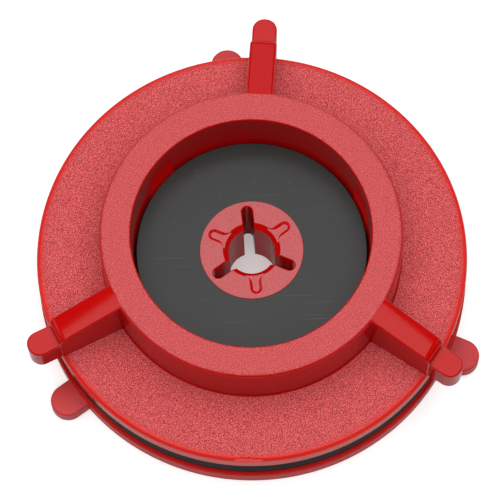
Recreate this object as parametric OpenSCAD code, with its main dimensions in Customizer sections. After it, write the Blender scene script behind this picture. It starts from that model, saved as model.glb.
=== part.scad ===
// Hub adapter that seats a large open tape reel on the small splined spindle of a tape deck.
// Millimetres. The origin is the spindle bore's axis at the underside; +Z points away from the deck.
// Turning the locking ring clockwise drives it down three ramps: its lugs cover the reel's hub and
// the rubber ring, squeezed between two discs, swells and grips the reel's bore.

/* [Lower disc] */
// Radius of the lower disc, the reel's bore radius
base_r = 38.1; // [36:0.1:48]
// Thickness of the lower disc
base_t = 3.5; // [3:0.1:5]
// How far a lower lug reaches past the lower disc
lower_lug_reach = 5.3; // [3.5:0.1:8]
// Width of a lower lug
lower_lug_w = 5.9; // [4:0.1:8]
// How far a lower lug's top lies under the lower disc's top
lower_lug_drop = 0.3; // [0.1:0.1:1]
// Direction of the first lower lug, counter-clockwise from +X
lower_lug_angle = 94.6; // [90:0.1:100]

/* [Rubber ring] */
// How far the relaxed rubber ring stands inside the lower disc's edge
rubber_inset = 0.5; // [0.2:0.1:1]
// Height of the relaxed rubber ring
rubber_h = 5; // [4:0.1:8]
// Radial width of the rubber ring
rubber_w = 4.2; // [3:0.1:5.2]

/* [Locking ring] */
// How far the upper disc stands inside the lower disc's edge
disc_inset = 0.3; // [0.1:0.1:1]
// Thickness of the upper disc at its rim
disc_t = 3.4; // [2.8:0.1:6]
// Outer radius of the raised grip ring
ring_r = 26.2; // [25.6:0.1:26.6]
// Thickness of the grip ring's wall
ring_wall = 5.5; // [5:0.1:5.8]
// Height of the grip ring above the upper disc
ring_h = 10.8; // [8.5:0.1:18]
// How much lower a grip rib is at its outer end than at the grip ring
rib_fall = 3; // [1:0.1:3]
// Width of a grip rib
rib_w = 4.55; // [3:0.05:6]
// How far a grip rib stops short of the upper disc's edge
rib_inset = 0.3; // [0:0.1:3]
// How far an upper lug reaches past the upper disc
lug_reach = 5; // [3:0.1:7]
// Width of an upper lug
lug_w = 4.4; // [3:0.1:6]
// Corner radius at the end of an upper lug
lug_corner = 2.1; // [0.5:0.1:2.1]
// Height of an upper lug's top above the upper disc
lug_top_h = 5.3; // [3:0.1:5.4]
// How far an upper lug's underside lies under the upper disc's top
lug_drop = 0.3; // [0:0.1:1]
// How far clockwise of the lower lugs the upper lugs stand when open
lug_offset = 9.9; // [9:0.1:12]

/* [Spindle hub] */
// Radius of the hub's visible face
hub_r = 9.05; // [8.8:0.05:9.4]
// Radius of the spindle bore
bore_r = 4.1; // [3.4:0.05:4.95]
// Distance from the axis to the end of a spline slot
slot_r = 8.15; // [6.75:0.05:8.3]
// Width of a spline slot
slot_w = 1.9; // [1.2:0.05:2.3]
// Depth of the three blind rest recesses in the hub's face
recess_depth = 0.8; // [0.4:0.1:1.2]
// Width of the chamfer round the bore's mouth
mouth_chamfer = 0.95; // [0.3:0.05:1.2]
// Height that the hub's face stands above the black cover disc
hub_proud = 0.12; // [0:0.02:0.6]

/* [Mechanism] */
// How far the locking ring turns, in degrees
turn_angle = 50; // [30:1:60]
// How far the locking ring moves down over its whole turn
squeeze = 0.8; // [0.4:0.01:1]
// Radial width of the locking ring's flange, which turns on the hub's journal
flange_w = 4.7; // [4.4:0.1:5]
// Thickness of the locking ring's flange
flange_t = 1.8; // [1.2:0.1:2]
// Thickness of the cam plate
cam_plate_t = 2; // [1.6:0.1:3]
// Thickness of the cover disc
cover_t = 0.9; // [0.5:0.1:1.5]
// Gap between the cover disc's edge and the well's wall
cover_gap = 0.5; // [0.3:0.05:0.7]
// Thickness of the keyed pressure ring
pressure_t = 1.2; // [0.8:0.1:1.6]
// Thickness of the slip washer
slip_t = 0.3; // [0.2:0.05:0.5]
// Radius of a clamp screw's shank
screw_r = 1.2; // [1:0.05:1.45]
// Radius of a guide peg
peg_r = 1.4; // [1:0.05:1.7]
// Wire diameter of a return spring
wire_d = 0.5; // [0.3:0.05:0.6]
// Number of working turns in a return spring
coil_turns = 4.5; // [3.5:0.5:5.5]
// Radial clearance between pieces that turn or slide on each other
run_fit = 0.08; // [0.03:0.01:0.1]
// Clearance between pieces that are fitted and stay put
seat_fit = 0.03; // [0.01:0.01:0.06]

/* [Hidden] */
$fn = 128;
COUNT = 3;
PITCH = 360 / COUNT;
EPS = 0.01;

// Directions of what stands three times round the axis
upper_lug_angle = lower_lug_angle - lug_offset;
recess_angle = lower_lug_angle - PITCH / 2;
screw_angle = lower_lug_angle - PITCH / 4;
peg_angle = recess_angle;
pad_start = recess_angle - 8;

// Heights, from the underside up
lip_gap = 0.1;
cam_gap = 0.1;
cam_start = 0.2;
rubber_top = base_t + rubber_h;
lip_z = rubber_top + lip_gap;
disc_top = lip_z + disc_t;
slip_z = rubber_top + pressure_t;
web_z = slip_z + slip_t;
ring_top = disc_top + ring_h;
cam_plate_z = disc_top - 1.4;
flange_top = cam_plate_z - 1.8;
flange_z = flange_top - flange_t;
cover_z = cam_plate_z + cam_plate_t;
cover_top = cover_z + cover_t;
hub_top = cover_top + hub_proud;

// Radii, from the axis out
spigot_r = hub_r + 0.95;
well_r = ring_r - ring_wall;
journal_r = well_r - flange_w;
screw_circle_r = (spigot_r + journal_r) / 2;
insert_r = screw_r + 0.6;
head_r = 2 * screw_r;
cover_r = well_r - cover_gap;
wall_r = well_r + 1.6;
pressure_in_r = wall_r + 0.3;
disc_r = base_r - disc_inset;
lip_w = 1.2;
pressure_out_r = disc_r - lip_w - 0.3;
rubber_r = base_r - rubber_inset;
seat_rib_r = rubber_r - rubber_w - 0.2;
seat_rib_w = 1.5;
seat_rib_h = 3 / 5 * rubber_h;
spring_circle_r = (wall_r + seat_rib_r - seat_rib_w) / 2;
coil_r = peg_r + 0.35 + wire_d / 2;
rib_r = disc_r - rib_inset;
lug_r = disc_r + lug_reach;
lower_lug_r = base_r + lower_lug_reach;

// Keys, ramps and pads
key_h = 1.3;
key_angle = 8;
key_slack = 0.5;
key_l = flange_top + 0.3 - base_t;
pad_angle = 16;
ramp_over = 2;
cam_in_r = journal_r + key_h + 0.4;
cam_out_r = cover_r - 0.2;
drop_per_degree = squeeze / turn_angle;

// Depths in the lower disc
insert_z = 0.7;
insert_l = base_t - insert_z - 0.1;
screw_end_z = 1;
head_l = 1.25;
socket_floor = 0.7;
peg_end_z = socket_floor + squeeze + 0.3;
relief_r = 20;
relief_depth = 0.6;

// Points on an arc, from angle a to angle b in degrees
function arc(cx, cy, r, a, b, n = 8) = [for (i = [0:n]) [cx + r * cos(a + (b - a) * i / n),
    cy + r * sin(a + (b - a) * i / n)]];

// Repeats its children round the axis, once for each lug, slot or screw
module around(first = 0) {
    for (k = [0:COUNT - 1])
        rotate([0, 0, first + k * PITCH])
            children();
}

// A ring sector between two radii, from angle a to angle b
module sector(r1, r2, a, b, h) {
    rotate([0, 0, a])
        rotate_extrude(angle = b - a)
            translate([r1, 0])
                square([r2 - r1, h]);
}

// A tongue that runs out along +X and ends in a half circle
module round_tongue(r0, r, w, h) {
    linear_extrude(h) {
        translate([r0, -w / 2])
            square([r - w / 2 - r0, w]);
        translate([r - w / 2, 0])
            circle(w / 2, $fn = 64);
    }
}

// A tongue that runs out along +X with rounded corners at its end
module tongue(r0, r, w, corner, h) {
    linear_extrude(h) {
        translate([r0, -w / 2])
            square([r - corner - r0, w]);
        translate([r0, -w / 2 + corner])
            square([r - r0, w - 2 * corner]);
        for (s = [-1, 1])
            translate([r - corner, s * (w / 2 - corner)])
                circle(corner, $fn = 48);
    }
}

// A ring sector whose sloping face drops clockwise; zf is its level face
module helical_sector(r1, r2, start, span, zf, z_start, drop) {
    n = ceil(span / 4);
    pts = [for (i = [0:n]) let (a = start - span * i / n, z = z_start - drop * span * i / n)
        each [[r1 * cos(a), r1 * sin(a), zf], [r2 * cos(a), r2 * sin(a), zf],
            [r2 * cos(a), r2 * sin(a), z], [r1 * cos(a), r1 * sin(a), z]]];
    up = z_start > zf;
    sides = [for (i = [0:n - 1]) for (j = [0:3]) let (q = 4 * i + j, s = 4 * i + (j + 1) % 4)
        up ? [q, q + 4, s + 4, s] : [q, s, s + 4, q + 4]];
    low = up ? [0, 1, 2, 3] : [3, 2, 1, 0];
    high = up ? [4 * n + 3, 4 * n + 2, 4 * n + 1, 4 * n] : [4 * n, 4 * n + 1, 4 * n + 2, 4 * n + 3];
    polyhedron(points = pts, faces = concat(sides, [low], [high]), convexity = 4);
}

// Lower disc with its three lugs, which carry the reel
module base_plate() {
    edge = 0.4;
    color("firebrick")
        difference() {
            union() {
                rotate_extrude()
                    polygon([[spigot_r + seat_fit, 0], [base_r - edge, 0], [base_r, edge],
                        [base_r, base_t - edge / 2], [base_r - edge / 2, base_t],
                        [spigot_r + seat_fit, base_t]]);
                rotate_extrude()
                    translate([seat_rib_r - seat_rib_w, base_t - EPS])
                        square([seat_rib_w, seat_rib_h + EPS]);
                around(lower_lug_angle)
                    round_tongue(base_r - 2, lower_lug_r, lower_lug_w, base_t - lower_lug_drop);
            }
            translate([0, 0, -EPS])
                cylinder(r = relief_r, h = relief_depth + EPS);
            around(screw_angle)
                translate([screw_circle_r, 0, -EPS])
                    cylinder(r = insert_r + seat_fit, h = base_t + 2 * EPS, $fn = 48);
            around(peg_angle)
                translate([spring_circle_r, 0, socket_floor])
                    cylinder(r = peg_r + run_fit, h = base_t, $fn = 48);
            around(lower_lug_angle)
                translate([seat_rib_r - 3, 0, -EPS])
                    cylinder(r = 1.6, h = 0.15 + EPS, $fn = 48);
        }
}

// Hub with the splined bore, and the journal that the locking ring turns on
module spindle_hub() {
    mouth_w = slot_w + 0.6;
    mouth_depth = 0.3;
    color("indianred")
        difference() {
            union() {
                cylinder(r = spigot_r, h = base_t + EPS);
                translate([0, 0, base_t])
                    cylinder(r = journal_r, h = cam_plate_z - base_t);
                cylinder(r = hub_r, h = hub_top);
                around(recess_angle)
                    translate([0, 0, base_t])
                        sector(journal_r - 1, journal_r + key_h, -key_angle / 2, key_angle / 2, key_l);
            }
            translate([0, 0, -1])
                cylinder(r = bore_r, h = hub_top + 2);
            translate([0, 0, hub_top - mouth_chamfer])
                cylinder(r1 = bore_r, r2 = bore_r + mouth_chamfer + EPS, h = mouth_chamfer + EPS);
            around(lower_lug_angle)
                translate([0, 0, -1])
                    round_tongue(0, slot_r, slot_w, hub_top + 2);
            around(recess_angle)
                translate([0, 0, hub_top - recess_depth])
                    round_tongue(0, slot_r, slot_w, recess_depth + 1);
            for (first = [lower_lug_angle, recess_angle])
                around(first)
                    translate([0, 0, hub_top - mouth_depth])
                        round_tongue(0, slot_r + 0.3, mouth_w, mouth_depth + 1);
            around(screw_angle)
                translate([screw_circle_r, 0, base_t - EPS])
                    cylinder(r = screw_r + 0.15, h = hub_top, $fn = 48);
        }
}

// Plate over the locking ring's flange; its three ramps push the flange down
module cam_plate() {
    color("dimgray")
        difference() {
            union() {
                translate([0, 0, cam_plate_z])
                    cylinder(r = cover_r, h = cam_plate_t);
                around(pad_start)
                    helical_sector(cam_in_r, cam_out_r, ramp_over, turn_angle + pad_angle + 2 * ramp_over,
                        cam_plate_z + EPS, cam_plate_z - cam_start + ramp_over * drop_per_degree,
                        drop_per_degree);
            }
            translate([0, 0, cam_plate_z - 1])
                cylinder(r = hub_r + seat_fit, h = cam_plate_t + 2);
            around(screw_angle)
                translate([screw_circle_r, 0, 0]) {
                    translate([0, 0, cam_plate_z - EPS])
                        cylinder(r = screw_r + 0.15, h = cam_plate_t + 2 * EPS, $fn = 48);
                    translate([0, 0, cover_z - head_l - seat_fit])
                        cylinder(r1 = screw_r + 0.15, r2 = head_r + 0.1, h = head_l + 2 * seat_fit, $fn = 48);
                }
        }
}

// Black disc in the bottom of the well, stuck over the screw heads
module cover_disc() {
    edge = 0.15;
    color([0.2, 0.2, 0.2])
        rotate_extrude()
            polygon([[hub_r + seat_fit, cover_z], [cover_r, cover_z], [cover_r, cover_top - edge],
                [cover_r - edge, cover_top], [hub_r + seat_fit, cover_top]]);
}

// Three countersunk screws that hold plate, hub and lower disc together
module clamp_screws() {
    drive_w = 0.6;
    color("silver")
        around(screw_angle)
            translate([screw_circle_r, 0, 0])
                difference() {
                    union() {
                        translate([0, 0, screw_end_z])
                            cylinder(r = screw_r, h = cover_z - screw_end_z - EPS, $fn = 48);
                        translate([0, 0, cover_z - head_l])
                            cylinder(r1 = screw_r, r2 = head_r, h = head_l - EPS, $fn = 48);
                    }
                    for (a = [0, 90])
                        rotate([0, 0, a])
                            translate([-head_r * 0.6, -drive_w / 2, cover_z - 0.8])
                                cube([head_r * 1.2, drive_w, 1]);
                }
}

// Three brass inserts in the lower disc that take the screws
module threaded_inserts() {
    color("goldenrod")
        around(screw_angle)
            translate([screw_circle_r, 0, insert_z])
                difference() {
                    cylinder(r = insert_r, h = insert_l, $fn = 48);
                    translate([0, 0, -EPS])
                        cylinder(r = screw_r + seat_fit, h = insert_l + 2 * EPS, $fn = 48);
                }
}

// Rubber ring with a gently crowned face
module rubber_ring() {
    crown = 0.18;
    round_r = 0.35;
    color([0.12, 0.12, 0.13])
        translate([0, 0, base_t])
            rotate_extrude()
                polygon(concat([[rubber_r - rubber_w, 0]],
                    arc(rubber_r - crown - round_r, round_r, round_r, -90, 0, 4),
                    [[rubber_r - crown / 3, rubber_h * 0.25], [rubber_r, rubber_h * 0.5],
                        [rubber_r - crown / 3, rubber_h * 0.75]],
                    arc(rubber_r - crown - round_r, rubber_h - round_r, round_r, 0, 90, 4),
                    [[rubber_r - rubber_w, rubber_h]]));
}

// A compression spring with closed ends, round a guide peg
module return_spring(k) {
    sides = 6;
    per_turn = 16;
    r = wire_d / 2;
    rise = rubber_h - wire_d;
    total = coil_turns + 1.5;
    n = round(total * per_turn);
    // The first and last three quarters of a turn lie flat
    function height(t) = rise * min(1, max(0, (t - 0.75) / coil_turns));
    pts = [for (i = [0:n]) for (j = [0:sides - 1])
        let (t = i / per_turn, a = 360 * t, b = 360 * j / sides, q = coil_r + r * cos(b))
        [q * cos(a), q * sin(a), r + height(t) + r * sin(b)]];
    sides_f = [for (i = [0:n - 1]) for (j = [0:sides - 1]) let (a = i * sides + j,
        b = i * sides + (j + 1) % sides) [a, b, b + sides, a + sides]];
    cap_a = [for (j = [sides - 1:-1:0]) j];
    cap_b = [for (j = [0:sides - 1]) n * sides + j];
    color("gainsboro")
        rotate([0, 0, peg_angle + (k - 1) * PITCH])
            translate([spring_circle_r, 0, base_t])
                polyhedron(points = pts, faces = concat(sides_f, [cap_a], [cap_b]), convexity = 8);
}

// Ring on the rubber that moves down but can't turn: its pegs slide in the lower disc
module pressure_ring() {
    color("lightslategray") {
        translate([0, 0, rubber_top])
            difference() {
                cylinder(r = pressure_out_r, h = pressure_t);
                translate([0, 0, -EPS])
                    cylinder(r = pressure_in_r, h = pressure_t + 2 * EPS);
            }
        around(peg_angle)
            translate([spring_circle_r, 0, peg_end_z])
                cylinder(r = peg_r, h = rubber_top - peg_end_z + EPS, $fn = 48);
    }
}

// Low-friction washer that lets the locking ring turn without dragging the rubber
module slip_washer() {
    color("ivory")
        translate([0, 0, slip_z])
            difference() {
                cylinder(r = pressure_out_r, h = slip_t);
                translate([0, 0, -EPS])
                    cylinder(r = pressure_in_r, h = slip_t + 2 * EPS);
            }
}

// Side view of a grip rib, sloping down to its rounded outer end
module rib() {
    end_round = 1;
    start_r = ring_r - 1;
    root_z = ring_top - 0.3;
    end_z = ring_top - rib_fall;
    slope = atan((root_z - end_z) / (rib_r - ring_r));
    rotate([90, 0, 0])
        translate([0, 0, -rib_w / 2])
            linear_extrude(rib_w)
                polygon(concat([[start_r, disc_top - EPS], [rib_r, disc_top - EPS]],
                    arc(rib_r - end_round, end_z - end_round, end_round, 0, 90 - slope, 6),
                    [[ring_r, root_z], [start_r, root_z]]));
}

// Upper disc, grip ring, ribs and lugs in one moulding, with the flange that runs under the cams
module locking_ring() {
    rim_round = 0.9;
    top_out = 0.9;
    top_in = 0.5;
    core_in = wall_r + 0.1;
    core_out = ring_r - 1.8;
    bottom_edge = 0.25;
    color("crimson")
        difference() {
            union() {
                rotate_extrude()
                    polygon(concat([[journal_r + run_fit, flange_z], [wall_r, flange_z], [wall_r, web_z],
                        [disc_r - lip_w, web_z], [disc_r - lip_w, lip_z], [disc_r - bottom_edge, lip_z],
                        [disc_r, lip_z + bottom_edge]],
                        arc(disc_r - rim_round, disc_top - rim_round, rim_round, 0, 90),
                        [[ring_r, disc_top]],
                        arc(ring_r - top_out, ring_top - top_out, top_out, 0, 90),
                        arc(well_r + top_in, ring_top - top_in, top_in, 90, 180),
                        [[well_r, flange_top], [journal_r + run_fit, flange_top]]));
                around(upper_lug_angle) {
                    rib();
                    translate([0, 0, disc_top - lug_drop])
                        tongue(ring_r, lug_r, lug_w, lug_corner, lug_top_h + lug_drop);
                }
                around(pad_start)
                    helical_sector(cam_in_r, well_r + 0.2, 0, pad_angle, flange_top - EPS,
                        cam_plate_z - cam_start - cam_gap, drop_per_degree);
            }
            translate([0, 0, web_z - EPS])
                rotate_extrude()
                    translate([core_in, 0])
                        square([core_out - core_in, ring_h - 1.8 + (disc_top - web_z)]);
            around(recess_angle)
                translate([0, 0, flange_z - EPS])
                    sector(journal_r - 1, journal_r + key_h + 0.15, -key_angle / 2 - key_slack,
                        turn_angle + key_angle / 2 + key_slack, flange_t + 2 * EPS);
        }
}

base_plate();
spindle_hub();
cam_plate();
cover_disc();
clamp_screws();
threaded_inserts();
rubber_ring();
return_spring(1);  // return_spring_1
return_spring(2);  // return_spring_2
return_spring(3);  // return_spring_3
pressure_ring();
slip_washer();
locking_ring();
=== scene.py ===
import math

import bmesh
import bpy
from mathutils import Matrix, Vector


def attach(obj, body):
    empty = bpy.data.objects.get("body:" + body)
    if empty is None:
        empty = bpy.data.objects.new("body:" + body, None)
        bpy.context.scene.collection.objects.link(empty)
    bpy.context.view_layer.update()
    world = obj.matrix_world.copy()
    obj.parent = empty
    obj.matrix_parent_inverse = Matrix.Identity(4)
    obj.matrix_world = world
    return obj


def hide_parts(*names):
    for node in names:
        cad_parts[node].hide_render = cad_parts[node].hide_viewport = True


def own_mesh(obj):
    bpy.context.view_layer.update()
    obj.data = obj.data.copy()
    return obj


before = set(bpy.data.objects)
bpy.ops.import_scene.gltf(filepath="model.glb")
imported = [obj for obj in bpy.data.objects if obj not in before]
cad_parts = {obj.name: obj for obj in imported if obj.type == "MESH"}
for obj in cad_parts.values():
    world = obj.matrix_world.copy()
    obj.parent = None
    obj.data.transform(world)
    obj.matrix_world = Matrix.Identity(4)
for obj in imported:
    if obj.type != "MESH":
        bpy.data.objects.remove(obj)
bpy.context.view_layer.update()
scene = bpy.context.scene


# ---------------------------------------------------------------- Lower disc
# The disc that stands on the deck's turntable and carries the rubber ring. Three half-round lugs hold
# the reel up. One injection moulding in red plastic: level faces with a spark-eroded grain, polished
# edges and lugs, ejector marks underneath. Sizes are in millimetres and angles in degrees.

MM = 0.001
THIRD = 120
BASE_R = 38.09
BASE_TOP = 3.5
LOWER_LUG_ANGLE = 94.6
PEG_ANGLE = LOWER_LUG_ANGLE - THIRD / 2
SCREW_ANGLE = LOWER_LUG_ANGLE - THIRD / 4
PEG_CIRCLE = 27.0
SCREW_CIRCLE = 13.0


def arc(cx, cy, r, start, end, steps):
    """Points along an arc, from one direction to another in degrees."""
    turns = [math.radians(start + (end - start) * i / steps) for i in range(steps + 1)]
    return [(cx + r * math.cos(a), cy + r * math.sin(a)) for a in turns]


def made(name, bm):
    """The object of a bmesh drawn in millimetres, closed and facing outwards."""
    bmesh.ops.remove_doubles(bm, verts=bm.verts, dist=1e-5)
    bmesh.ops.recalc_face_normals(bm, faces=bm.faces)
    bmesh.ops.scale(bm, vec=(MM, MM, MM), verts=bm.verts)
    mesh = bpy.data.meshes.new(name)
    bm.to_mesh(mesh)
    bm.free()
    obj = bpy.data.objects.new(name, mesh)
    scene.collection.objects.link(obj)
    return obj


def turned(name, outline, steps=192, phase=0.0):
    """A closed outline of (radius, height) points, turned round the axis."""
    bm = bmesh.new()
    rings = []
    for k in range(steps):
        a = math.radians(phase + 360 * k / steps)
        rings.append([bm.verts.new((r * math.cos(a), r * math.sin(a), z)) for r, z in outline])
    for k, ring in enumerate(rings):
        following = rings[(k + 1) % steps]
        for i in range(len(outline)):
            j = (i + 1) % len(outline)
            bm.faces.new((ring[i], following[i], following[j], ring[j]))
    return made(name, bm)


def block(name, outline, z0, z1):
    """A plan outline raised from one height to another; z1 may be a function of the point."""
    bm = bmesh.new()
    top = z1 if callable(z1) else lambda x, y: z1
    low = [bm.verts.new((x, y, z0)) for x, y in outline]
    high = [bm.verts.new((x, y, top(x, y))) for x, y in outline]
    bm.faces.new(low)
    bm.faces.new(high)
    for i in range(len(outline)):
        j = (i + 1) % len(outline)
        bm.faces.new((low[i], low[j], high[j], high[i]))
    return made(name, bm)


def plain(obj):
    """The same object with its modifiers worked into its mesh."""
    bpy.context.view_layer.update()
    graph = bpy.context.evaluated_depsgraph_get()
    mesh = bpy.data.meshes.new_from_object(obj.evaluated_get(graph))
    old = obj.data
    obj.modifiers.clear()
    obj.data = mesh
    bpy.data.meshes.remove(old)
    mesh.name = obj.name
    return obj


def combined(obj, other, operation):
    """obj joined with, or cut by, another shape, which is used up."""
    step = obj.modifiers.new(operation.lower(), "BOOLEAN")
    step.operation = operation
    step.solver = "EXACT"
    step.object = other
    plain(obj)
    bpy.data.objects.remove(other)
    return obj


def add(tree, kind, **settings):
    """A new node with its properties set, and its inputs, by name, set or linked."""
    node = tree.nodes.new(kind)
    for key, value in settings.items():
        if not key[0].isupper():
            setattr(node, key, value)
        elif isinstance(value, bpy.types.NodeSocket):
            tree.links.new(value, node.inputs[key.replace("_", " ")])
        else:
            node.inputs[key.replace("_", " ")].default_value = value
    return node


def worked_out(tree, operation, *values, clamp=False):
    """The result of a maths node, from numbers and sockets."""
    node = add(tree, "ShaderNodeMath", operation=operation, use_clamp=clamp)
    for socket, value in zip(node.inputs, values):
        if isinstance(value, bpy.types.NodeSocket):
            tree.links.new(value, socket)
        else:
            socket.default_value = value
    return node.outputs[0]


def repeat_tree():
    """Geometry nodes that stand one shape several times round the axis."""
    tree = bpy.data.node_groups.new("round_the_axis", "GeometryNodeTree")
    socket = tree.interface.new_socket
    socket("Geometry", in_out="INPUT", socket_type="NodeSocketGeometry")
    socket("Count", in_out="INPUT", socket_type="NodeSocketInt").default_value = 3
    socket("First Angle", in_out="INPUT", socket_type="NodeSocketFloat")
    socket("Material", in_out="INPUT", socket_type="NodeSocketMaterial")
    socket("Geometry", in_out="OUTPUT", socket_type="NodeSocketGeometry")
    given = add(tree, "NodeGroupInput").outputs
    points = add(tree, "GeometryNodePoints", Count=given["Count"])
    index = add(tree, "GeometryNodeInputIndex").outputs[0]
    share = worked_out(tree, "DIVIDE", index, given["Count"])
    angle = worked_out(tree, "MULTIPLY_ADD", share, math.tau, given["First Angle"])
    angles = add(tree, "ShaderNodeCombineXYZ", Z=angle)
    rotation = add(tree, "FunctionNodeEulerToRotation", Euler=angles.outputs[0])
    stand = add(tree, "GeometryNodeInstanceOnPoints", Points=points.outputs[0],
                Instance=given["Geometry"], Rotation=rotation.outputs[0])
    real = add(tree, "GeometryNodeRealizeInstances", Geometry=stand.outputs[0])
    painted = add(tree, "GeometryNodeSetMaterial", Geometry=real.outputs[0], Material=given["Material"])
    add(tree, "NodeGroupOutput", Geometry=painted.outputs[0])
    return tree


def set_inputs(step, values):
    """Sets a geometry nodes modifier's inputs by their sockets' identifiers."""
    for item in step.node_group.interface.items_tree:
        if item.item_type == "SOCKET" and item.in_out == "INPUT" and item.name in values:
            step[item.identifier] = values[item.name]


ROUND_THE_AXIS = repeat_tree()


def repeated(obj, first, material=None, count=3):
    """obj stood several times round the axis, the first at an angle in degrees."""
    step = obj.modifiers.new("round_the_axis", "NODES")
    step.node_group = ROUND_THE_AXIS
    set_inputs(step, {"Count": count, "First Angle": math.radians(first), "Material": material})
    return plain(obj)


def softened(obj, width, steps=3, limit=35):
    """Evens out the shading. With a width, also joins level faces and rounds the sharper edges."""
    bm = bmesh.new()
    bm.from_mesh(obj.data)
    bmesh.ops.remove_doubles(bm, verts=bm.verts, dist=2e-6)
    if width:
        level_within = math.radians(0.4)
        bmesh.ops.dissolve_limit(bm, angle_limit=level_within, verts=bm.verts, edges=bm.edges)
    bm.to_mesh(obj.data)
    bm.free()
    if width:
        bevel = obj.modifiers.new("bevel", "BEVEL")
        bevel.width = width * MM
        bevel.segments = steps
        bevel.limit_method = "ANGLE"
        bevel.angle_limit = math.radians(limit)
        bevel.use_clamp_overlap = False
        bevel.miter_outer = "MITER_ARC"
        plain(obj)
    obj.data.shade_smooth()
    obj.data.set_sharp_from_angle(angle=math.radians(limit))
    even = obj.modifiers.new("even_shading", "WEIGHTED_NORMAL")
    even.weight = 100
    even.keep_sharp = True
    return plain(obj)


def tongue(name, root, end, width, corner, z0, z1, steps=8):
    """A plan tongue along +X with rounded corners at its end."""
    half = width / 2
    outline = [(root, -half)]
    outline += arc(end - corner, corner - half, corner, -90, 0, steps)
    outline += arc(end - corner, half - corner, corner, 0, 90, steps)
    outline += [(root, half)]
    return block(name, outline, z0, z1)


def disc_block(name, x, r, z0, z1, steps=40):
    """A short cylinder standing at x on the +X axis."""
    return block(name, arc(x, 0, r, 0, 360, steps)[:-1], z0, z1)


def grain_group():
    """Spark-eroded grain: its height, where it lies, a speckle of painted glints and shade, and the polished
    rim, painted lighter.
    """
    tree = bpy.data.node_groups.new("spark_grain", "ShaderNodeTree")
    socket = tree.interface.new_socket
    for name, value in (("Grains per Metre", 6400.0), ("Reach", 1.0), ("Level", 0.7)):
        socket(name, in_out="INPUT", socket_type="NodeSocketFloat").default_value = value
    for name in ("Height", "Mask", "Speckle", "Rim"):
        socket(name, in_out="OUTPUT", socket_type="NodeSocketFloat")
    given = add(tree, "NodeGroupInput").outputs
    where = add(tree, "ShaderNodeTexCoord").outputs["Object"]

    # Two sizes of grain, one over the other
    broad_size, broad_weight = 0.45, 0.6
    fine = add(tree, "ShaderNodeTexNoise", Vector=where, Scale=given["Grains per Metre"], Detail=3.0,
               Roughness=0.75).outputs["Fac"]
    broad_scale = worked_out(tree, "MULTIPLY", given["Grains per Metre"], broad_size)
    broad = add(tree, "ShaderNodeTexNoise", Vector=where, Scale=broad_scale, Detail=1.0).outputs["Fac"]
    grain = worked_out(tree, "MULTIPLY_ADD", broad, broad_weight, fine)

    # Level faces within reach of the axis take it, and the rim beyond them is polished and painted a lighter,
    # purer red, a painted highlight on the rounded edge
    rim_fade = 1.6 * MM
    facing = add(tree, "ShaderNodeNewGeometry").outputs["Normal"]
    upright = worked_out(tree, "ABSOLUTE", add(tree, "ShaderNodeSeparateXYZ", Vector=facing).outputs["Z"])
    level = add(tree, "ShaderNodeMapRange", interpolation_type="SMOOTHSTEP", Value=upright,
                From_Min=given["Level"], From_Max=0.97).outputs[0]
    in_plan = add(tree, "ShaderNodeVectorMath", operation="MULTIPLY")
    tree.links.new(where, in_plan.inputs[0])
    in_plan.inputs[1].default_value = (1, 1, 0)
    radius = add(tree, "ShaderNodeVectorMath", operation="LENGTH", Vector=in_plan.outputs[0])
    fade_from = worked_out(tree, "SUBTRACT", given["Reach"], rim_fade)
    inside = add(tree, "ShaderNodeMapRange", interpolation_type="SMOOTHSTEP", To_Min=1.0, To_Max=0.0,
                 Value=radius.outputs["Value"], From_Min=fade_from, From_Max=given["Reach"]).outputs[0]
    polished = add(tree, "ShaderNodeAttribute", attribute_name="polished").outputs["Fac"]
    rough = worked_out(tree, "SUBTRACT", 1.0, polished)
    mask = worked_out(tree, "MULTIPLY", worked_out(tree, "MULTIPLY", level, rough), inside)
    # Where the rim's colour is painted lighter, a painted highlight
    rim = worked_out(tree, "SUBTRACT", rough, inside, clamp=True)

    # Walls keep a trace of the grain
    wall_share = 0.2
    depth = worked_out(tree, "MAXIMUM", mask, worked_out(tree, "MULTIPLY", rough, wall_share))
    height = worked_out(tree, "MULTIPLY", grain, depth)

    # The speckle paints glints and shade of the grain into the colour; it is weaker on faces that hands
    # polish, above the upper disc
    mean_glint_level = 0.44
    glint = add(tree, "ShaderNodeMapRange", Value=fine, From_Min=0.42, From_Max=0.59, To_Min=-0.5,
                To_Max=0.5).outputs[0]
    handled = add(tree, "ShaderNodeMapRange", From_Min=12.5 * MM, From_Max=13.5 * MM, To_Min=1.0, To_Max=0.6,
                  Value=add(tree, "ShaderNodeSeparateXYZ", Vector=where).outputs["Z"]).outputs[0]
    painted_glints = worked_out(tree, "MULTIPLY_ADD", glint, handled, mean_glint_level)
    add(tree, "NodeGroupOutput", Height=height, Mask=mask, Rim=rim, Speckle=painted_glints)
    return tree


SPARK_GRAIN = grain_group()


def two_tone(tree, factor, first, second):
    """A mix of two colours, each a colour or a socket, by a factor."""
    colours = [c if isinstance(c, bpy.types.NodeSocket) else (*c, 1) for c in (first, second)]
    mix = add(tree, "ShaderNodeMix", data_type="RGBA", Factor=factor, A=colours[0], B=colours[1])
    return mix.outputs["Result"]


def new_material(name):
    """A material, its node tree and its Principled shader."""
    material = bpy.data.materials.new(name)
    material.use_nodes = True
    return material, material.node_tree, material.node_tree.nodes["Principled BSDF"]


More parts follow.
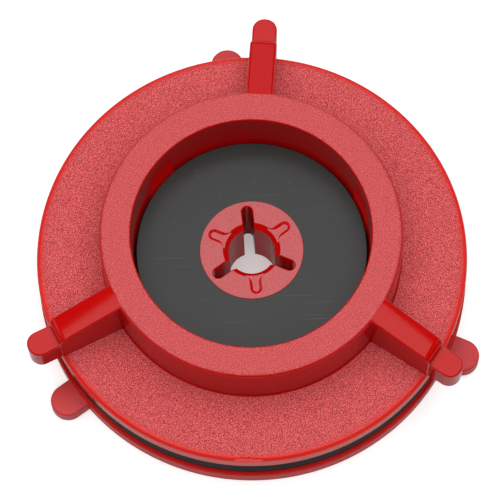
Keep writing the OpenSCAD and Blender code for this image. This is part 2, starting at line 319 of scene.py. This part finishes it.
def red_plastic(name, deep, shaded_pits, glinting_peaks, rim=None, grains=6400.0, grain=0.08, reach=1000.0,
                level=0.7, polish=0.09, matt=0.45):
    """Red moulded plastic: polished, with a matt grain on the level faces within reach of the axis."""
    material, tree, shader = new_material(name)
    group = add(tree, "ShaderNodeGroup", node_tree=SPARK_GRAIN, Reach=reach * MM, Grains_per_Metre=grains,
                Level=level).outputs
    # The grain's colour carries painted glints on its peaks and painted shade in its pits
    grain_with_painted_glints = two_tone(tree, group["Speckle"], shaded_pits, glinting_peaks)
    # The rim takes a lighter, purer red: a painted highlight on the rounded edge
    smooth_with_lit_rim = two_tone(tree, group["Rim"], deep, rim or deep)
    tree.links.new(two_tone(tree, group["Mask"], smooth_with_lit_rim, grain_with_painted_glints), shader.inputs["Base Color"])
    where = add(tree, "ShaderNodeTexCoord").outputs["Object"]
    cloud = add(tree, "ShaderNodeTexNoise", Vector=where, Scale=160.0, Detail=3.0).outputs["Fac"]
    smear = add(tree, "ShaderNodeMapRange", Value=cloud, To_Min=polish * 0.8, To_Max=polish * 1.3)
    finish = add(tree, "ShaderNodeMix", data_type="FLOAT", Factor=group["Mask"], A=smear.outputs[0], B=matt)
    tree.links.new(finish.outputs["Result"], shader.inputs["Roughness"])
    bump = add(tree, "ShaderNodeBump", Strength=1.0, Distance=grain * MM, Height=group["Height"])
    tree.links.new(bump.outputs[0], shader.inputs["Normal"])
    shader.inputs["IOR"].default_value = 1.27
    return material


DEEP_RED = (0.51, 0.002, 0.002)
# The peaks' pale colours are painted glints and the pits' darker ones painted shade, here and in the hub's
# and locking ring's reds
LOWER_RED = red_plastic("red_moulding", deep=(0.58, 0.042, 0.046), shaded_pits=(0.54, 0.05, 0.055),
                        glinting_peaks=(0.66, 0.09, 0.095), rim=(0.6, 0.004, 0.003), grains=7000.0, grain=0.03,
                        reach=37.5, polish=0.3)


def all_polished(obj):
    """Marks a shape's faces as polished, wherever they end up."""
    marks = obj.data.attributes.new("polished", "FLOAT", "FACE")
    marks.data.foreach_set("value", [1.0] * len(obj.data.polygons))


HUB_HOLE_R = 10.03
RELIEF_R, RELIEF_TOP = 20.0, 0.6
FOOT_ROUND, RIM_ROUND = 0.5, 0.25
SEAT_RIB_IN, SEAT_RIB_OUT, SEAT_RIB_TOP, SEAT_RIB_ROUND = 31.7, 33.2, 6.5, 0.2
disc = turned("lower_disc", [
    (HUB_HOLE_R, RELIEF_TOP), (RELIEF_R - 0.2, RELIEF_TOP), (RELIEF_R, RELIEF_TOP - 0.2),
    *arc(RELIEF_R + 0.2, 0.2, 0.2, 180, 270, 3),
    *arc(BASE_R - FOOT_ROUND, FOOT_ROUND, FOOT_ROUND, -90, 0, 5),
    *arc(BASE_R - RIM_ROUND, BASE_TOP - RIM_ROUND, RIM_ROUND, 0, 90, 4),
    (SEAT_RIB_OUT, BASE_TOP),
    *arc(SEAT_RIB_OUT - SEAT_RIB_ROUND, SEAT_RIB_TOP - SEAT_RIB_ROUND, SEAT_RIB_ROUND, 0, 90, 3),
    *arc(SEAT_RIB_IN + SEAT_RIB_ROUND, SEAT_RIB_TOP - SEAT_RIB_ROUND, SEAT_RIB_ROUND, 90, 180, 3),
    (SEAT_RIB_IN, BASE_TOP), (HUB_HOLE_R, BASE_TOP),
])
lug = tongue("lower_lug", root=36.1, end=43.38, width=5.9, corner=2.94, z0=0, z1=3.2, steps=16)
softened(lug, 0.45, steps=4)
all_polished(lug)
combined(disc, repeated(lug, LOWER_LUG_ANGLE), "UNION")
insert_pocket = disc_block("insert_pocket", x=SCREW_CIRCLE, r=1.83, z0=-1, z1=5)
combined(disc, repeated(insert_pocket, SCREW_ANGLE), "DIFFERENCE")
peg_socket = disc_block("peg_socket", x=PEG_CIRCLE, r=1.48, z0=0.7, z1=5)
combined(disc, repeated(peg_socket, PEG_ANGLE), "DIFFERENCE")
ejector_mark = disc_block("ejector_mark", x=30.2, r=1.6, z0=-1, z1=0.15)
combined(disc, repeated(ejector_mark, LOWER_LUG_ANGLE), "DIFFERENCE")
softened(disc, 0)
disc.data.materials.clear()
disc.data.materials.append(LOWER_RED)
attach(disc, "base")
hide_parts("base_plate")


# ----------------------------------------------------------- Threaded inserts
# Three brass inserts, pressed warm into pockets from the top side of the lower disc. Turned, with a
# fine knurl round them that the plastic flows into.


def metal(name, colour, roughness):
    """Worked metal with fine turning marks and dull patches."""
    material, tree, shader = new_material(name)
    where = add(tree, "ShaderNodeTexCoord").outputs["Object"]
    marks = add(tree, "ShaderNodeTexNoise", Vector=where, Scale=5000.0, Detail=2.0).outputs["Fac"]
    dull = add(tree, "ShaderNodeTexNoise", Vector=where, Scale=700.0, Detail=4.0).outputs["Fac"]
    spread = add(tree, "ShaderNodeMapRange", Value=dull, To_Min=roughness * 0.7, To_Max=roughness * 1.4)
    tree.links.new(spread.outputs[0], shader.inputs["Roughness"])
    darker = [c * 0.75 for c in colour]
    tree.links.new(two_tone(tree, dull, darker, colour), shader.inputs["Base Color"])
    bump = add(tree, "ShaderNodeBump", Strength=0.3, Distance=0.01 * MM, Height=marks)
    tree.links.new(bump.outputs[0], shader.inputs["Normal"])
    shader.inputs["Metallic"].default_value = 1.0
    return material


BRASS = metal("brass", (0.78, 0.52, 0.2), 0.32)


def knurled(name, x, bore, r, z0, z1, teeth):
    """A drilled insert at x with a straight knurl and broken edges."""
    bm = bmesh.new()
    chamfer, tooth_depth = 0.12, 0.06
    steps = teeth * 4
    rings = []
    for k in range(steps):
        a = math.tau * k / steps
        tooth = tooth_depth if k % 4 in (1, 2) else 0
        section = [(bore + chamfer, z0), (r - chamfer, z0), (r - tooth, z0 + chamfer),
                   (r - tooth, z1 - chamfer), (r - chamfer, z1), (bore + chamfer, z1),
                   (bore, z1 - chamfer), (bore, z0 + chamfer)]
        rings.append([bm.verts.new((x + q * math.cos(a), q * math.sin(a), z)) for q, z in section])
    for k, ring in enumerate(rings):
        following = rings[(k + 1) % steps]
        for i in range(len(ring)):
            j = (i + 1) % len(ring)
            bm.faces.new((ring[i], following[i], following[j], ring[j]))
    return made(name, bm)


insert = knurled("brass_inserts", x=SCREW_CIRCLE, bore=1.22, r=1.8, z0=0.7, z1=3.4, teeth=24)
inserts = repeated(insert, SCREW_ANGLE, BRASS)
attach(inserts, "base")
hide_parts("threaded_inserts")


# ---------------------------------------------------------------- Spindle hub
# The centre of the adapter. Its bore has three through splines that the deck's spindle drives, and
# three blind recesses between them. One red moulding with a grained face and a polished mouth; the
# locking ring turns on its journal and stops against its three keys.

HUB_TOP = 13.62
MOUTH = 5.05
MOUTH_DEPTH = 0.95
BORE_R, HUB_FOOT_R, HUB_NECK_R, HUB_ROUND = 4.1, 10.0, 9.05, 0.3
JOURNAL_R, JOURNAL_LOW, JOURNAL_TOP = 16.0, BASE_TOP, 10.6
SLOT_END, SLOT_W = 8.15, 1.9
RECESS_END, RECESS_W, RECESS_DEPTH, RECESS_LEAN, RECESS_FLARE = 8.2, 2.1, 0.3, 0.5, 0.9
HUB_RED = red_plastic("red_hub", DEEP_RED, shaded_pits=(0.46, 0.06, 0.065), glinting_peaks=(0.6, 0.17, 0.175),
                      grains=7000.0, grain=0.04, level=0.93)


def slot_plan(end, width, flare, mouth):
    """A slot out of the bore along +X, round at its end, whose corners at the bore are rounded."""
    half = width / 2
    x = math.sqrt((mouth + flare) ** 2 - (half + flare) ** 2)
    lean = math.degrees(math.atan2(half + flare, x))
    lower = arc(x, -half - flare, flare, 180 - lean, 90, 6)
    upper = arc(x, half + flare, flare, -90, lean - 180, 6)
    tip = arc(end - half, 0, half, -90, 90, 14)
    return [(0.5, -0.3), (3.4, lower[0][1]), *lower, *tip, *upper, (3.4, upper[-1][1]), (0.5, 0.3)]


def lofted(name, low_plan, z0, high_plan, z1):
    """A solid between two plans of as many points at two heights."""
    bm = bmesh.new()
    low = [bm.verts.new((x, y, z0)) for x, y in low_plan]
    high = [bm.verts.new((x, y, z1)) for x, y in high_plan]
    bm.faces.new(low)
    bm.faces.new(high)
    for i in range(len(low)):
        j = (i + 1) % len(low)
        bm.faces.new((low[i], low[j], high[j], high[i]))
    return made(name, bm)


hub = turned("spindle_hub_part", [
    *arc(BORE_R + HUB_ROUND, HUB_ROUND, HUB_ROUND, 180, 270, 4),
    *arc(HUB_FOOT_R - HUB_ROUND, HUB_ROUND, HUB_ROUND, -90, 0, 4), (HUB_FOOT_R, JOURNAL_LOW),
    *arc(JOURNAL_R - 0.2, JOURNAL_LOW + 0.2, 0.2, -90, 0, 4),
    *arc(JOURNAL_R - 0.2, JOURNAL_TOP - 0.2, 0.2, 0, 90, 4), (HUB_NECK_R, JOURNAL_TOP),
    (HUB_NECK_R, HUB_TOP - 0.03), (HUB_NECK_R - 0.03, HUB_TOP), (MOUTH, HUB_TOP),
    (BORE_R, HUB_TOP - MOUTH_DEPTH),
], 144)


def sector(name, r1, r2, start, end, z0, z1, steps=12):
    """A ring sector between two radii; z1 may be a function of the point."""
    return block(name, arc(0, 0, r1, start, end, steps) + arc(0, 0, r2, end, start, steps), z0, z1)


stop_key = sector("stop_key", 15.0, 17.3, start=-4, end=4, z0=3.6, z1=9.1)
combined(hub, repeated(stop_key, PEG_ANGLE), "UNION")
spline = tongue("spline_slot", root=0.5, end=SLOT_END, width=SLOT_W, corner=0.94, z0=-1, z1=15, steps=12)
combined(hub, repeated(spline, LOWER_LUG_ANGLE), "DIFFERENCE")
slot_lip = lofted("slot_lip", slot_plan(SLOT_END, SLOT_W - 0.02, 0.01, 4.6), HUB_TOP - 0.17,
                  slot_plan(SLOT_END + 0.34, SLOT_W + 0.66, 0.01, 4.6), HUB_TOP + 0.17)
combined(hub, repeated(slot_lip, LOWER_LUG_ANGLE), "DIFFERENCE")
recess_floor, recess_rim = (
    slot_plan(RECESS_END + side * RECESS_LEAN, RECESS_W + 2 * side * RECESS_LEAN,
              RECESS_FLARE - side * RECESS_LEAN, MOUTH) for side in (-1, 1))
recess = lofted("rest_recess", recess_floor, HUB_TOP - RECESS_DEPTH, recess_rim, HUB_TOP + RECESS_DEPTH)
combined(hub, repeated(recess, PEG_ANGLE), "DIFFERENCE")
screw_hole = disc_block("screw_hole", x=SCREW_CIRCLE, r=1.35, z0=3, z1=12)
combined(hub, repeated(screw_hole, SCREW_ANGLE), "DIFFERENCE")
softened(hub, 0, limit=28)
hub.data.materials.clear()
hub.data.materials.append(HUB_RED)
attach(hub, "base")
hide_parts("spindle_hub")


# -------------------------------------------------------------- Return springs
# Three compression springs round the guide pegs, coiled from spring wire with closed ends. They lift
# the pressure ring and the locking ring again when the ring is turned back.

SPRING_WIRE = metal("spring_steel", (0.62, 0.62, 0.64), 0.22)


def spring_tree():
    """Geometry nodes that coil one compression spring with closed ends at the guide peg's place."""
    tree = bpy.data.node_groups.new("coiled_spring", "GeometryNodeTree")
    socket = tree.interface.new_socket
    socket("Geometry", in_out="INPUT", socket_type="NodeSocketGeometry")
    for name, value in (("Coil Radius", 2 * MM), ("Wire Radius", 0.25 * MM), ("Working Turns", 4.5),
                        ("Rise", 4.5 * MM), ("Foot", 3.75 * MM), ("Distance", PEG_CIRCLE * MM)):
        socket(name, in_out="INPUT", socket_type="NodeSocketFloat").default_value = value
    socket("Material", in_out="INPUT", socket_type="NodeSocketMaterial")
    socket("Geometry", in_out="OUTPUT", socket_type="NodeSocketGeometry")
    given = add(tree, "NodeGroupInput").outputs
    closed_turns, steps, facets = 0.75, 192, 12
    line = add(tree, "GeometryNodeCurvePrimitiveLine").outputs[0]
    points = add(tree, "GeometryNodeResampleCurve", Curve=line, Count=steps + 1).outputs[0]
    along = add(tree, "GeometryNodeSplineParameter").outputs["Factor"]
    all_turns = worked_out(tree, "ADD", given["Working Turns"], 2 * closed_turns)
    turns = worked_out(tree, "MULTIPLY", along, all_turns)
    angle = worked_out(tree, "MULTIPLY", turns, math.tau)
    past_end = worked_out(tree, "SUBTRACT", turns, closed_turns)
    climbed = worked_out(tree, "DIVIDE", past_end, given["Working Turns"], clamp=True)
    cosine, sine = worked_out(tree, "COSINE", angle), worked_out(tree, "SINE", angle)
    place = add(tree, "ShaderNodeCombineXYZ",
                X=worked_out(tree, "MULTIPLY_ADD", cosine, given["Coil Radius"], given["Distance"]),
                Y=worked_out(tree, "MULTIPLY", sine, given["Coil Radius"]),
                Z=worked_out(tree, "MULTIPLY_ADD", climbed, given["Rise"], given["Foot"])).outputs[0]
    coil = add(tree, "GeometryNodeSetPosition", Geometry=points, Position=place).outputs[0]
    section = add(tree, "GeometryNodeCurvePrimitiveCircle", Resolution=facets, Radius=given["Wire Radius"])
    wire = add(tree, "GeometryNodeCurveToMesh", Curve=coil, Profile_Curve=section.outputs["Curve"],
               Fill_Caps=True).outputs[0]
    real = add(tree, "GeometryNodeRealizeInstances", Geometry=wire)
    painted = add(tree, "GeometryNodeSetMaterial", Geometry=real.outputs[0], Material=given["Material"])
    add(tree, "NodeGroupOutput", Geometry=painted.outputs[0])
    return tree


COILED_SPRING = spring_tree()
for k in range(3):
    spring = made(f"lifting_spring_{k + 1}", bmesh.new())
    coil = spring.modifiers.new("coiled_spring", "NODES")
    coil.node_group = COILED_SPRING
    set_inputs(coil, {"Material": SPRING_WIRE})
    plain(spring)
    spring.data.transform(Matrix.Rotation(math.radians(PEG_ANGLE + THIRD * k), 4, "Z"))
    spring.data.shade_smooth()
    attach(spring, "base")
    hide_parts(f"return_spring_{k + 1}")
    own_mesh(spring)


# ---------------------------------------------------------------- Rubber ring
# The black ring between the two discs. Squeezed, it swells and grips the reel's bore. Moulded rubber
# with a crowned face, a faint parting line round it, and a matt skin.

RUBBER_H = 5.0
RUBBER_IN, RUBBER_R = 33.4, 37.6
RUBBER_ROUND = 0.35


def handling_group():
    """Fine scratches and specks of dust: a mask of each."""
    tree = bpy.data.node_groups.new("handling_marks", "ShaderNodeTree")
    socket = tree.interface.new_socket
    for name, value in (("Scratches", 0.5), ("Dust", 0.5)):
        socket(name, in_out="INPUT", socket_type="NodeSocketFloat").default_value = value
    for name in ("Scratch", "Speck"):
        socket(name, in_out="OUTPUT", socket_type="NodeSocketFloat")
    given = add(tree, "NodeGroupInput").outputs
    where = add(tree, "ShaderNodeTexCoord").outputs["Object"]
    lines = []
    for lean, fineness in ((0.5, 2700.0), (-0.9, 3900.0)):
        drawn_out = add(tree, "ShaderNodeMapping", Vector=where, Rotation=(0, 0, lean),
                        Scale=(60.0, fineness, 60.0)).outputs[0]
        noise = add(tree, "ShaderNodeTexNoise", Vector=drawn_out, Scale=1.0, Detail=2.0).outputs["Fac"]
        lines.append(add(tree, "ShaderNodeMapRange", Value=noise, From_Min=0.70, From_Max=0.78).outputs[0])
    scratch = worked_out(tree, "MULTIPLY", worked_out(tree, "MAXIMUM", *lines), given["Scratches"])
    cells = add(tree, "ShaderNodeTexVoronoi", Vector=where, Scale=420.0).outputs["Distance"]
    near = add(tree, "ShaderNodeMapRange", Value=cells, From_Min=0.035, From_Max=0.02).outputs[0]
    speck = worked_out(tree, "MULTIPLY", near, given["Dust"])
    add(tree, "NodeGroupOutput", Scratch=scratch, Speck=speck)
    return tree


HANDLING_MARKS = handling_group()


def black_stuff(name, colour, roughness, sheen, scratches, dust, teeth, tooth):
    """Black plastic or rubber with a fine tooth, scratches and specks of dust."""
    material, tree, shader = new_material(name)
    marks = add(tree, "ShaderNodeGroup", node_tree=HANDLING_MARKS, Scratches=scratches, Dust=dust).outputs
    worn = two_tone(tree, marks["Scratch"], colour, (0.16, 0.16, 0.16))
    tree.links.new(two_tone(tree, marks["Speck"], worn, (0.4, 0.4, 0.38)), shader.inputs["Base Color"])
    where = add(tree, "ShaderNodeTexCoord").outputs["Object"]
    cloud = add(tree, "ShaderNodeTexNoise", Vector=where, Scale=90.0, Detail=4.0).outputs["Fac"]
    rub = add(tree, "ShaderNodeMapRange", Value=cloud, To_Min=roughness * 0.85, To_Max=roughness * 1.15)
    tree.links.new(rub.outputs[0], shader.inputs["Roughness"])
    skin = add(tree, "ShaderNodeTexNoise", Vector=where, Scale=teeth, Detail=2.0).outputs["Fac"]
    bump = add(tree, "ShaderNodeBump", Strength=0.6, Distance=tooth * MM, Height=skin)
    tree.links.new(bump.outputs[0], shader.inputs["Normal"])
    shader.inputs["Specular IOR Level"].default_value = sheen
    return material


RUBBER = black_stuff("black_rubber", colour=(0.006, 0.006, 0.0065), roughness=0.6, sheen=0.15,
                     scratches=0.2, dust=0.5, teeth=3500.0, tooth=0.01)


def half_face(side):
    """The ring's outer face from its corner to the parting line, on the lower or the upper side."""
    middle = BASE_TOP + RUBBER_H / 2
    corner = arc(RUBBER_R - RUBBER_ROUND - 0.18, middle + side * (RUBBER_H / 2 - RUBBER_ROUND),
                 RUBBER_ROUND, side * 90, 0, 5)
    crown = ((0.11, 1.5), (0.04, 0.7), (0.02, 0.12))
    return [*corner, *[(RUBBER_R - back, middle + side * up) for back, up in crown]]


rubber = turned("rubber_ring_part", [
    (RUBBER_IN, BASE_TOP), *half_face(-1), (RUBBER_R, BASE_TOP + RUBBER_H / 2), *reversed(half_face(1)),
    (RUBBER_IN, BASE_TOP + RUBBER_H),
])
softened(rubber, 0)
rubber.data.materials.append(RUBBER)
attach(rubber, "base")
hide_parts("rubber_ring")
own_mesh(rubber)


# -------------------------------------------------------------- Pressure ring
# The ring that lies on the rubber. Its three pegs slide in the lower disc and keep it from turning.
# Moulded in grey plastic, with the slight mottle of an unpolished tool.


def plain_plastic(name, dark, light, roughness):
    """Unpolished plastic with a slight mottle."""
    material, tree, shader = new_material(name)
    where = add(tree, "ShaderNodeTexCoord").outputs["Object"]
    mottle = add(tree, "ShaderNodeTexNoise", Vector=where, Scale=900.0, Detail=4.0).outputs["Fac"]
    tree.links.new(two_tone(tree, mottle, dark, light), shader.inputs["Base Color"])
    spread = add(tree, "ShaderNodeMapRange", Value=mottle, To_Min=roughness * 0.8, To_Max=roughness * 1.2)
    tree.links.new(spread.outputs[0], shader.inputs["Roughness"])
    bump = add(tree, "ShaderNodeBump", Strength=0.4, Distance=0.01 * MM, Height=mottle)
    tree.links.new(bump.outputs[0], shader.inputs["Normal"])
    return material


def painted(node, material):
    """Gives a CAD node its finish."""
    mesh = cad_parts[node].data
    mesh.materials.clear()
    mesh.materials.append(material)


GREY_PLASTIC = plain_plastic("grey_plastic", (0.16, 0.17, 0.18), (0.24, 0.25, 0.26), roughness=0.5)
painted("pressure_ring", GREY_PLASTIC)


# ---------------------------------------------------------------- Slip washer
# A thin washer on the pressure ring, so that the locking ring slides over it without dragging the
# rubber round. Punched from slippery white sheet.

SLIP_SHEET = plain_plastic("slip_sheet", (0.62, 0.61, 0.57), (0.78, 0.77, 0.73), roughness=0.35)
painted("slip_washer", SLIP_SHEET)


# --------------------------------------------------------------- Locking ring
# The part that the hand turns: upper disc, raised grip ring, three ribs and the three lugs that cover
# the reel. One red moulding, cored out from below, with grained level faces and polished ribs, lugs
# and edges. Its flange runs under the cam plate on three pads.

UPPER_LUG_ANGLE = LOWER_LUG_ANGLE - 9.9
DISC_R, DISC_LOW, DISC_TOP = 37.8, 8.6, 12.0
SKIRT_R, SKIRT_TOP = 36.6, 10.0
WALL_R, RING_R, RING_TOP = 20.7, 26.2, 22.8
CORE_IN, CORE_OUT, CORE_TOP = 22.4, 24.4, 21.0
FLANGE_IN, FLANGE_LOW, FLANGE_TOP = 16.08, 7.0, 8.8
RIB_ROOT, RIB_END, RIB_HALF, RIB_CROWN, RIB_ROUND = 24.0, DISC_R, 2.38, 0.11, 1.8
RIB_SLOPE, RIB_NOSE = 13.45, 18.11
LUG_LOW, LUG_TOP, LUG_END = 11.7, 17.3, 42.8
GATE_ANGLE = -92.5
# The rim colour, much lighter than the deep red, is a painted highlight on the disc's rounded edge
LOCK_RED = red_plastic("red_locking_ring", DEEP_RED, shaded_pits=(0.28, 0.0, 0.003), glinting_peaks=(1.0, 0.19, 0.195),
                       rim=(0.72, 0.018, 0.012), reach=37.6)


def rib(name, strips=10):
    """A crowned grip rib along +X, sloping down from the grip ring's top edge to a rounded end."""
    nose = arc(RIB_END - RIB_ROUND, RIB_NOSE, RIB_ROUND, 0, 90 - RIB_SLOPE, 7)
    ridge = [*nose, (25.45, 22.77), (RIB_ROOT, 22.6)]
    bm = bmesh.new()
    slices = []
    for k in range(strips + 1):
        across = 2 * k / strips - 1
        fall = RIB_CROWN * across ** 2
        edge = [(RIB_ROOT, LUG_LOW), (RIB_END, LUG_LOW), *[(x, z - fall) for x, z in ridge]]
        slices.append([bm.verts.new((x, across * RIB_HALF, z)) for x, z in edge])
    bm.faces.new(slices[0])
    bm.faces.new(slices[-1])
    for low, high in zip(slices, slices[1:]):
        for i in range(len(low)):
            j = (i + 1) % len(low)
            bm.faces.new((low[i], low[j], high[j], high[i]))
    return made(name, bm)


lock = turned("locking_ring_part", [
    (FLANGE_IN, FLANGE_LOW), (CORE_IN, FLANGE_LOW), (CORE_IN, CORE_TOP), (CORE_OUT, CORE_TOP),
    (CORE_OUT, SKIRT_TOP), (SKIRT_R, SKIRT_TOP), (SKIRT_R, DISC_LOW),
    *arc(DISC_R - 0.25, DISC_LOW + 0.25, 0.25, -90, 0, 3),
    *arc(DISC_R - 0.85, DISC_TOP - 0.85, 0.85, 0, 90, 6),
    *arc(RING_R + 0.4, DISC_TOP + 0.4, 0.4, 270, 180, 4), *arc(RING_R - 0.9, RING_TOP - 0.9, 0.9, 0, 90, 6),
    *arc(WALL_R + 0.5, RING_TOP - 0.5, 0.5, 90, 180, 4), (WALL_R, FLANGE_TOP), (FLANGE_IN, FLANGE_TOP),
], 192, UPPER_LUG_ANGLE)
arm = softened(rib("rib"), 0.4, steps=4)
lug = tongue("upper_lug", root=30.0, end=LUG_END, width=4.4, corner=2.1, z0=LUG_LOW, z1=LUG_TOP)
combined(arm, softened(lug, 0.35, steps=4), "UNION")
all_polished(arm)
combined(lock, repeated(arm, UPPER_LUG_ANGLE), "UNION")
key_window = sector("key_window", 15.0, 17.45, start=-4.5, end=54.5, z0=6, z1=9.5, steps=24)
combined(lock, repeated(key_window, PEG_ANGLE), "DIFFERENCE")


def pad_top(x, y):
    """The pad's top falls clockwise with the ramp above it."""
    full_height, fall_per_degree = 10.3, 0.016
    return full_height + fall_per_degree * min(0, math.degrees(math.atan2(y, x)))


pad = sector("cam_pad", 17.7, 20.9, start=-16, end=0, z0=8.6, z1=pad_top, steps=8)
combined(lock, repeated(pad, PEG_ANGLE - 8), "UNION")
torn_edge = [(37.45, 2.3), (37.2, 1.6), (37.38, 1.0), (37.1, 0.2), (37.3, -0.5), (37.08, -1.3), (37.28, -1.9)]
scar = block("gate_scar", [(37.3, -2.5), (38.2, -2.7), (38.2, 2.4), *torn_edge], z0=11.45, z1=12.2)
combined(lock, repeated(scar, GATE_ANGLE, count=1), "DIFFERENCE")
softened(lock, 0)
lock.data.materials.clear()
lock.data.materials.append(LOCK_RED)
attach(lock, "lock")
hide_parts("locking_ring")


# ------------------------------------------------------------------ Cam plate
# The plate over the locking ring's flange, with three ramps underneath that push it down as it turns.
# Moulded in dark slippery plastic.

CAM_PLASTIC = plain_plastic("cam_plastic", (0.035, 0.035, 0.037), (0.055, 0.055, 0.058), roughness=0.45)
painted("cam_plate", CAM_PLASTIC)


# --------------------------------------------------------------- Clamp screws
# Three countersunk screws with a cross drive, in zinc-plated steel, that pull cam plate, hub and lower
# disc together.

SCREW_R, SCREW_TIP, HEAD_R = 1.2, 1.0, 2.4
HEAD_LOW, HEAD_TOP = 11.34, 12.58
THREAD_DEPTH, THREAD_STEP, THREAD_EDGES = 0.12, 0.15, 16
SCREW_STEEL = metal("zinc_steel", (0.66, 0.67, 0.69), roughness=0.28)


def screw(name, x):
    """A countersunk screw standing at x."""
    thread_low = SCREW_TIP + 0.25
    thread = [(SCREW_R - THREAD_DEPTH * (i % 2), thread_low + THREAD_STEP * i)
              for i in range(1, THREAD_EDGES + 1)]
    outline = [(0.0, SCREW_TIP), (SCREW_R - 0.25, SCREW_TIP), (SCREW_R, thread_low), *thread,
               (SCREW_R, HEAD_LOW), (HEAD_R, HEAD_TOP - 0.08), (HEAD_R, HEAD_TOP), (0.0, HEAD_TOP)]
    bm = bmesh.new()
    steps = 40
    angles = [math.tau * k / steps for k in range(steps)]
    rings = [[bm.verts.new((x + r * math.cos(a), r * math.sin(a), z)) for r, z in outline] for a in angles]
    for k, ring in enumerate(rings):
        following = rings[(k + 1) % steps]
        for i in range(len(outline) - 1):
            if outline[i][0] == 0:
                bm.faces.new((ring[i], following[i + 1], ring[i + 1]))
            elif outline[i + 1][0] == 0:
                bm.faces.new((ring[i], following[i], ring[i + 1]))
            else:
                bm.faces.new((ring[i], following[i], following[i + 1], ring[i + 1]))
    return made(name, bm)


screws = screw("clamp_screws_part", SCREW_CIRCLE)
for half_x, half_y in ((1.44, 0.3), (0.3, 1.44)):
    x0, x1 = SCREW_CIRCLE - half_x, SCREW_CIRCLE + half_x
    drive = block("drive", [(x0, -half_y), (x1, -half_y), (x1, half_y), (x0, half_y)], z0=11.8, z1=14)
    combined(screws, drive, "DIFFERENCE")
softened(screws, 0.05, steps=2)
repeated(screws, SCREW_ANGLE, SCREW_STEEL)
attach(screws, "base")
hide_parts("clamp_screws")


# ----------------------------------------------------------------- Cover disc
# The black disc in the bottom of the well, stuck over the screw heads. Punched from satin plastic
# sheet, with fine scratches and specks of dust.

COVER_IN, COVER_R, COVER_LOW, COVER_TOP = 9.08, 20.2, 12.6, 13.5
COVER_BLACK = black_stuff("black_cover", colour=(0.025, 0.025, 0.0245), roughness=0.3, sheen=0.23,
                          scratches=0.25, dust=0.5, teeth=5000.0, tooth=0.004)
cover = turned("cover_disc_part", [
    (COVER_IN, COVER_LOW), (COVER_R - 0.1, COVER_LOW),
    *arc(COVER_R - 0.15, COVER_TOP - 0.15, 0.15, 0, 90, 3), (COVER_IN, COVER_TOP),
])
softened(cover, 0)
cover.data.materials.append(COVER_BLACK)
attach(cover, "base")
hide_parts("cover_disc")


# --------------------------------------------------------------------- Studio
# A white floor under one large soft light, with a smaller one behind the part and one at each side,
# seen steeply from above. The lights and the camera are placed in metres.

FLOOR_SIDE = 3000.0
floor_bm = bmesh.new()
bmesh.ops.create_grid(floor_bm, x_segments=1, y_segments=1, size=FLOOR_SIDE / 2)
floor = made("floor", floor_bm)
if floor.data.polygons[0].normal.z < 0:
    floor.data.flip_normals()
white, white_tree, white_shader = new_material("white_sweep")
white_shader.inputs["Base Color"].default_value = (0.72, 0.72, 0.72, 1)
white_shader.inputs["Roughness"].default_value = 0.9
white_shader.inputs["Emission Color"].default_value = (1, 1, 1, 1)
# The floor glows towards the camera only, which paints out the part's contact shadow; the glow is weaker
# within 30 mm of the axis, painted shade on the floor round the part and seen through its bore.
floor_place = add(white_tree, "ShaderNodeTexCoord").outputs["Object"]
away = add(white_tree, "ShaderNodeVectorMath", operation="LENGTH", Vector=floor_place).outputs["Value"]
floor_glow_shaded_near_part = add(white_tree, "ShaderNodeMapRange", Value=away, From_Min=5 * MM, From_Max=30 * MM,
                 To_Min=0.28, To_Max=0.5).outputs[0]
seen = add(white_tree, "ShaderNodeLightPath").outputs["Is Camera Ray"]
glow = worked_out(white_tree, "MULTIPLY", seen, floor_glow_shaded_near_part)
white_tree.links.new(glow, white_shader.inputs["Emission Strength"])
floor.data.materials.append(white)


def soft_light(name, place, aim, side, power):
    """A rectangular soft light at a place, turned to face a point."""
    data = bpy.data.lights.new(name, "AREA")
    data.shape = "RECTANGLE"
    data.size, data.size_y = side
    data.energy = power
    light = bpy.data.objects.new(name, data)
    light.location = place
    light.rotation_euler = (Vector(aim) - Vector(place)).to_track_quat("-Z", "Y").to_euler()
    scene.collection.objects.link(light)
    return light


soft_light("top_light", (0.0, -0.1, 0.95), aim=(0.0, -0.1, 0), side=(1.12, 1.2), power=12.2)
soft_light("back_light", (0.05, 1.05, 0.95), aim=(0, 0, 0), side=(0.6, 1.0), power=2.3)
soft_light("left_light", (-0.9, 0.1, 0.5), aim=(0, 0, 0), side=(0.5, 0.5), power=1.0)
soft_light("right_light", (0.9, 0.1, 0.5), aim=(0, 0, 0), side=(0.5, 0.5), power=0.7)

world = bpy.data.worlds.new("pale_room")
world.use_nodes = True
world.node_tree.nodes["Background"].inputs["Color"].default_value = (1, 1, 1, 1)
world.node_tree.nodes["Background"].inputs["Strength"].default_value = 0.05
scene.world = world
scene.view_settings.view_transform = "Standard"

CAMERA_ELEVATION = math.radians(69.95)
CAMERA_ROLL = math.radians(-2.06)
CAMERA_DISTANCE = 0.459
CAMERA_ASIDE = Vector((0.307, -0.500)) * MM
back = Vector((0, -math.cos(CAMERA_ELEVATION), math.sin(CAMERA_ELEVATION)))
level_right = Vector((1, 0, 0))
level_up = back.cross(level_right)
right = level_right * math.cos(CAMERA_ROLL) + level_up * math.sin(CAMERA_ROLL)
up = back.cross(right)
camera_data = bpy.data.cameras.new("camera")
camera_data.lens = 188.35
camera_data.sensor_width = 36
camera = bpy.data.objects.new("camera", camera_data)
scene.collection.objects.link(camera)
aim = Vector((0, 0, DISC_TOP * MM))
camera.matrix_world = Matrix((right, up, back)).transposed().to_4x4()
camera.location = back * CAMERA_DISTANCE - right * CAMERA_ASIDE.x - up * CAMERA_ASIDE.y + aim
scene.camera = camera
